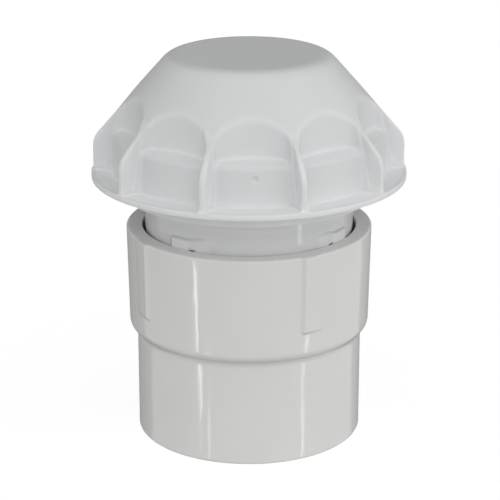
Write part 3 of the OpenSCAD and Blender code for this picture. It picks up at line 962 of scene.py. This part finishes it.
    def build(self) -> Piece:
        """Builds the shell.

        A pad's depth is added to the hub's radius, times smooth falls over its two ends and over its foot.

        Returns:
            The adapter, at the origin.
        """
        around, from_pad = self.columns()
        line, hub = self.profile()
        aside = np.radians(np.abs(from_pad) - self.pad_angle / 2.0) * self.rim_r
        below = self.rim_z - self.pad_height - line[:, 1]
        soft = np.where(from_pad > 0.0, self.pad_far, self.pad_near)
        across = smooth(fade(aside, -soft, soft))
        along = smooth(fade(below, -self.pad_foot, self.pad_foot))
        along[0] = 0.0
        along[hub:] = 0.0
        share = np.clip(0.5 + from_pad / self.pad_angle, 0.0, 1.0)
        depth = self.pad_depth * (1.0 - self.pad_fall * share)
        reach = line[:, :1] + depth * along[:, None] * across
        height = np.broadcast_to(line[:, 1:], reach.shape)
        return Turned.shell("pipe_adapter", reach, height, np.radians(around), True)

    def dress(self) -> None:
        """Puts the adapter in place of its CAD node."""
        adapter = self.build()
        adapter.data.materials.append(PIPE_WHITE.material())
        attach(adapter, Body.HOUSING.value)
        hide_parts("adapter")


@dataclass
class NeckLugs:
    """Soft mouldings over the neck's centring lugs, which sink into the neck at their edges.

    A lug's far end and the top beside it are crisp, and its end nearer the front runs out gently.
    """

    neck_r: float = 46.6
    face_r: float = 47.82
    sunk: float = 0.4
    count: int = 4
    turn: float = 53.8
    face_half: float = 7.9
    end_slope: float = 3.0
    near_slope: float = 11.0
    crisp: float = 1.5
    face_top: float = 100.4
    top_slope: float = 1.4
    near_top: float = 3.0
    # Where the painted light on a lug's face starts below its top, and how far it fades.
    painted_face_from: float = 0.6
    painted_face_fade: float = 0.8
    # Where the painted shade line over a lug lies, and how much painted shade its run-out gets.
    shade_at: float = 0.9
    shade_half: float = 0.3
    shade_fade: float = 1.2
    run_out_shade: float = 0.4
    foot: float = 95.6
    notch_at: float = 5.3
    notch_half: float = 1.7
    notch_top: float = 96.9
    notch_side: float = 0.5
    notch_roof: float = 0.4
    least_proud: float = 0.02

    @staticmethod
    def ramp(distance: Array, width: Values) -> Array:
        """A smooth fall from 1 at no distance to 0 at the width."""
        return smooth(fade(distance, 0.0, width))

    def build(self) -> Piece:
        """Builds all the lugs as one mesh of grids.

        A lug rises from under the neck's skin by the product of smooth falls over its ends and its top,
        less its notch. Faces that stay sunk are left out.

        Returns:
            The lugs, at the origin.
        """
        edge = self.face_half + self.near_slope
        aside = np.linspace(-edge, edge, 127)
        top_end = self.face_top + self.top_slope
        level = spaced(
            (self.foot, self.notch_top + 0.5, 10),
            (self.notch_top + 0.7, self.face_top - 0.2, 7),
            (self.face_top, top_end, 9),
            (top_end + 0.2, self.face_top + self.near_top, 6),
        )[:, None]
        over = level - self.face_top
        middles = np.arange(self.count)[:, None, None] * 360.0 / self.count + self.turn
        forward = aside * np.where(middles % 360.0 < 180.0, -1.0, 1.0)
        ends = self.ramp(-forward - self.face_half, self.end_slope)
        ends = ends * self.ramp(forward - self.face_half, self.near_slope)
        gentle = 1.0 - self.ramp(forward - self.crisp, self.face_half - self.crisp)
        top = self.ramp(over, self.top_slope + (self.near_top - self.top_slope) * gentle)
        notch = self.ramp(np.abs(forward - self.notch_at) - self.notch_half, self.notch_side)
        notch = notch * self.ramp(level - self.notch_top, self.notch_roof)
        proud = ends * top * (1.0 - notch)
        reach = self.neck_r - self.sunk + (self.face_r - self.neck_r + self.sunk) * proud
        # Painted light on each lug's face, below its top and away from its gentle run-out.
        face_painted_light = ends * self.ramp(over + self.painted_face_from, self.painted_face_fade) * (1.0 - gentle)
        # Painted shade along the top of each lug's crisp part, and over its proud run-out.
        line = self.ramp(np.abs(over - self.shade_at) - self.shade_half, self.shade_fade)
        shade = np.maximum(ends * line * (1.0 - gentle), self.run_out_shade * proud * gentle)
        points = polar(reach, np.radians(middles + aside), level).reshape(-1, 3)
        grids = np.arange(self.count)[:, None, None] * level.size * aside.size
        faces = (grids + grid_faces(level.size, aside.size)).reshape(-1, 4)
        faces = faces[proud.ravel()[faces].max(axis=1) > self.least_proud]
        used, order = np.unique(faces, return_inverse=True)
        lugs = new_piece("neck_lugs", points[used] * MM, order.reshape(-1, 4).tolist(), True)
        mark(lugs, "lug_painted_light", face_painted_light.ravel()[used])
        mark(lugs, "lug_painted_shade", shade.ravel()[used])
        return lugs

    def dress(self) -> None:
        """Puts the lugs on the neck, in the valve body's own material."""
        lugs = self.build()
        lugs.data.materials.append(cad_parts["valve_body"].data.materials[0])
        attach(lugs, Body.HOUSING.value)


@dataclass
class CarriedParts:
    """CAD nodes whose own shape is shown, with the finish each one gets."""

    finishes: Mapping[str, Finish]

    def dress(self) -> None:
        """Gives each node its finish."""
        made = {finish.slot: finish.material() for finish in self.finishes.values()}
        for name, finish in self.finishes.items():
            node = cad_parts[name]
            node.data.materials.clear()
            node.data.materials.append(made[finish.slot])
            log.info("%s: %s", name, finish.slot.value)


@dataclass
class Lamp:
    """A soft light that faces the axis at its own height."""

    name: str
    place: tuple[float, float, float]
    size: tuple[float, float]
    power: float

    def build(self) -> None:
        """Adds the light to the scene, hidden from the camera."""
        data = bpy.data.lights.new(self.name, "AREA")
        data.shape = "RECTANGLE"
        data.size, data.size_y = self.size
        data.energy = self.power
        lamp = bpy.data.objects.new(self.name, data)
        lamp.location = self.place
        lamp.rotation_euler = (math.pi / 2.0, 0.0, math.atan2(self.place[0], -self.place[1]))
        lamp.visible_camera = False
        bpy.context.scene.collection.objects.link(lamp)


@dataclass(frozen=True)
class Band:
    """A band of a panel, by the sines of its heights' angles above the horizon, and its share of light."""

    low: float
    high: float
    share: float


@dataclass(frozen=True)
class Panel:
    """A bright stretch of the sky, in bands with soft edges, by its middle and half its span in degrees."""

    middle: float
    half: float
    level: float
    bands: tuple[Band, ...]
    side_edge: float = 6.0
    end_edge: float = 0.02

    def glow(self, turn: Wire, rise: Wire) -> Wire:
        """The panel's light in each direction.

        Args:
            turn: Direction in degrees.
            rise: Sine of the angle above the horizon.

        Returns:
            The strength.
        """
        aside = (turn - self.middle).math("WRAP", 180.0, -180.0).math("ABSOLUTE")
        across = aside.step(self.half + self.side_edge, self.half - self.side_edge)
        glow = 0.0
        for band in self.bands:
            foot = rise.step(band.low - self.end_edge, band.low + self.end_edge)
            head = rise.step(band.high + self.end_edge, band.high - self.end_edge)
            glow = glow + foot * head * band.share
        return across * glow * self.level


ROOF_BANDS = (Band(0.70, 2.0, 1.0),)
WALL_BANDS = (Band(0.02, 0.12, 0.4), Band(0.12, 0.40, 1.0), Band(0.40, 0.70, 0.57))


@dataclass
class Studio:
    """Camera, floor, sky, a grey card and lamps."""

    camera_place: tuple[float, float, float] = (0.0, -0.8391, 0.3713)
    camera_tilt: float = 71.03
    lens: float = 141.2
    shift: float = 0.002
    floor_half: float = 8.0
    floor_glow: float = 0.90
    floor_paint: float = 0.18
    floor_bounce: float = 0.45
    card_r: float = 1.0
    card_from: float = 131.0
    card_to: float = 242.0
    card_low: float = -1.6
    card_high: float = 1.4
    card_grey: float = 0.32
    panels: tuple[Panel, ...] = (
        Panel(0.0, 135.0, 0.48, ROOF_BANDS),
        Panel(-75.0, 50.0, 1.45, WALL_BANDS),
        Panel(25.0, 50.0, 2.35, WALL_BANDS),
        Panel(100.0, 25.0, 1.95, WALL_BANDS),
    )

    def camera(self) -> None:
        """Stands the camera where the photograph was taken from."""
        data = bpy.data.cameras.new("camera")
        data.lens = self.lens
        data.sensor_width = 36.0
        data.shift_x = self.shift
        data.clip_end = 50.0
        camera = bpy.data.objects.new("camera", data)
        camera.location = self.camera_place
        camera.rotation_euler = (math.radians(self.camera_tilt), 0.0, 0.0)
        bpy.context.scene.collection.objects.link(camera)
        bpy.context.scene.camera = camera

    @staticmethod
    def shown(nodes: Nodes) -> Wire:
        """1 for rays from the camera and for reflected or refracted views, otherwise 0."""
        path = nodes.add("ShaderNodeLightPath").outputs
        return Wire(nodes, path["Is Camera Ray"]).math("MAXIMUM", path["Is Glossy Ray"]).math(
            "MAXIMUM", path["Is Transmission Ray"]
        )

    @staticmethod
    def sheet(name: str, points: Array, material: bpy.types.Material) -> Piece:
        """A stage piece from a grid of points.

        Args:
            name: Name of the piece.
            points: Places in metres, rows by columns by three.
            material: What it is made of.

        Returns:
            The new object.
        """
        faces = grid_faces(*points.shape[:2]).tolist()
        piece = new_piece(name, points.reshape(-1, 3), faces, False)
        piece.data.materials.append(material)
        return piece

    def floor(self) -> None:
        """Lays a white floor that keeps the object's shadow."""
        material = bpy.data.materials.new("floor_white")
        material.use_nodes = True
        nodes = Nodes(material.node_tree)
        paint = (self.floor_paint,) * 3 + (1.0,)
        bounce = (self.floor_bounce,) * 3 + (1.0,)
        glow = nodes.add("ShaderNodeEmission", None, {"Strength": self.floor_glow})
        seen = nodes.add("ShaderNodeBsdfDiffuse", None, {"Color": paint})
        both = nodes.add("ShaderNodeAddShader", None, {0: glow, 1: seen})
        lit = nodes.add("ShaderNodeBsdfDiffuse", None, {"Color": bounce})
        mix = nodes.add("ShaderNodeMixShader", None, {0: self.shown(nodes), 1: lit, 2: both})
        nodes.add("ShaderNodeOutputMaterial", None, {"Surface": mix})
        span = np.linspace(-self.floor_half, self.floor_half, 9)
        x, y = np.meshgrid(span, span)
        floor = self.sheet("floor", np.stack([x, y, np.zeros_like(x)], axis=-1), material)
        floor.visible_glossy = False
        floor.visible_shadow = False

    def card(self) -> None:
        """Bends a grey card round behind the object, which only shows in its glancing reflections."""
        material = bpy.data.materials.new("card_grey")
        material.use_nodes = True
        nodes = Nodes(material.node_tree)
        cloth = nodes.add("ShaderNodeEmission", None, {"Strength": self.card_grey})
        nodes.add("ShaderNodeOutputMaterial", None, {"Surface": cloth})
        turn = np.radians(np.linspace(self.card_from, self.card_to, 25))
        turn, height = np.meshgrid(turn, np.linspace(self.card_low, self.card_high, 9))
        card = self.sheet("grey_card", polar(self.card_r, turn, height), material)
        card.visible_camera = False
        card.visible_diffuse = False
        card.visible_transmission = False
        card.visible_shadow = False

    def sky(self) -> None:
        """Lights the object from the sky's panels, before a white background."""
        world = bpy.data.worlds.new("studio")
        world.use_nodes = True
        bpy.context.scene.world = world
        nodes = Nodes(world.node_tree)
        x, y, z = nodes.parts(nodes.wire("ShaderNodeTexCoord", output="Generated"))
        turn = x.math("ARCTAN2", -y) * (180.0 / math.pi)
        level = sum((panel.glow(turn, z) for panel in self.panels), 0.0)
        soft = nodes.add("ShaderNodeBackground", None, {"Color": (1.0,) * 4, "Strength": level})
        white = nodes.add("ShaderNodeBackground", None, {"Color": (1.0,) * 4, "Strength": 1.0})
        mix = nodes.add("ShaderNodeMixShader", None, {0: self.shown(nodes), 1: soft, 2: white})
        nodes.add("ShaderNodeOutputWorld", None, {"Surface": mix})

    def build(self) -> None:
        """Sets up the whole studio."""
        self.camera()
        self.floor()
        self.card()
        self.sky()
        lamps = [
            Lamp("left_strip", (-1.12, -0.92, -0.515), (0.03, 0.15), 0.33),
            Lamp("left_low_strip", (-0.934, -1.106, -0.643), (0.015, 0.115), 0.1),
            Lamp("right_strip", (1.2, -0.8, -0.37), (0.02, 0.12), 0.15),
            Lamp("right_low_strip", (1.2, -0.8, -0.613), (0.02, 0.175), 0.19),
        ]
        for lamp in lamps:
            lamp.build()
        bpy.context.scene.view_settings.view_transform = "Standard"


def main() -> None:
    """Builds the studio and dresses the valve."""
    logging.basicConfig(level=logging.INFO, format="%(name)s: %(message)s")
    Studio().build()
    RibbedCap().dress()
    PipeAdapter().dress()
    carried = {
        "valve_body": BODY_WHITE,
        "insect_screen": SCREEN_GREY,
        "throat_screen": SCREEN_GREY,
        "membrane": MEMBRANE_RUBBER,
        "membrane_carrier": CARRIER_GREY,
        "membrane_clamp": CARRIER_GREY,
        "pipe_seal": SEAL_RUBBER,
        "cap_seal": SEAL_RUBBER,
    }
    CarriedParts(carried).dress()
    NeckLugs().dress()


if __name__ == "__main__":
    main()
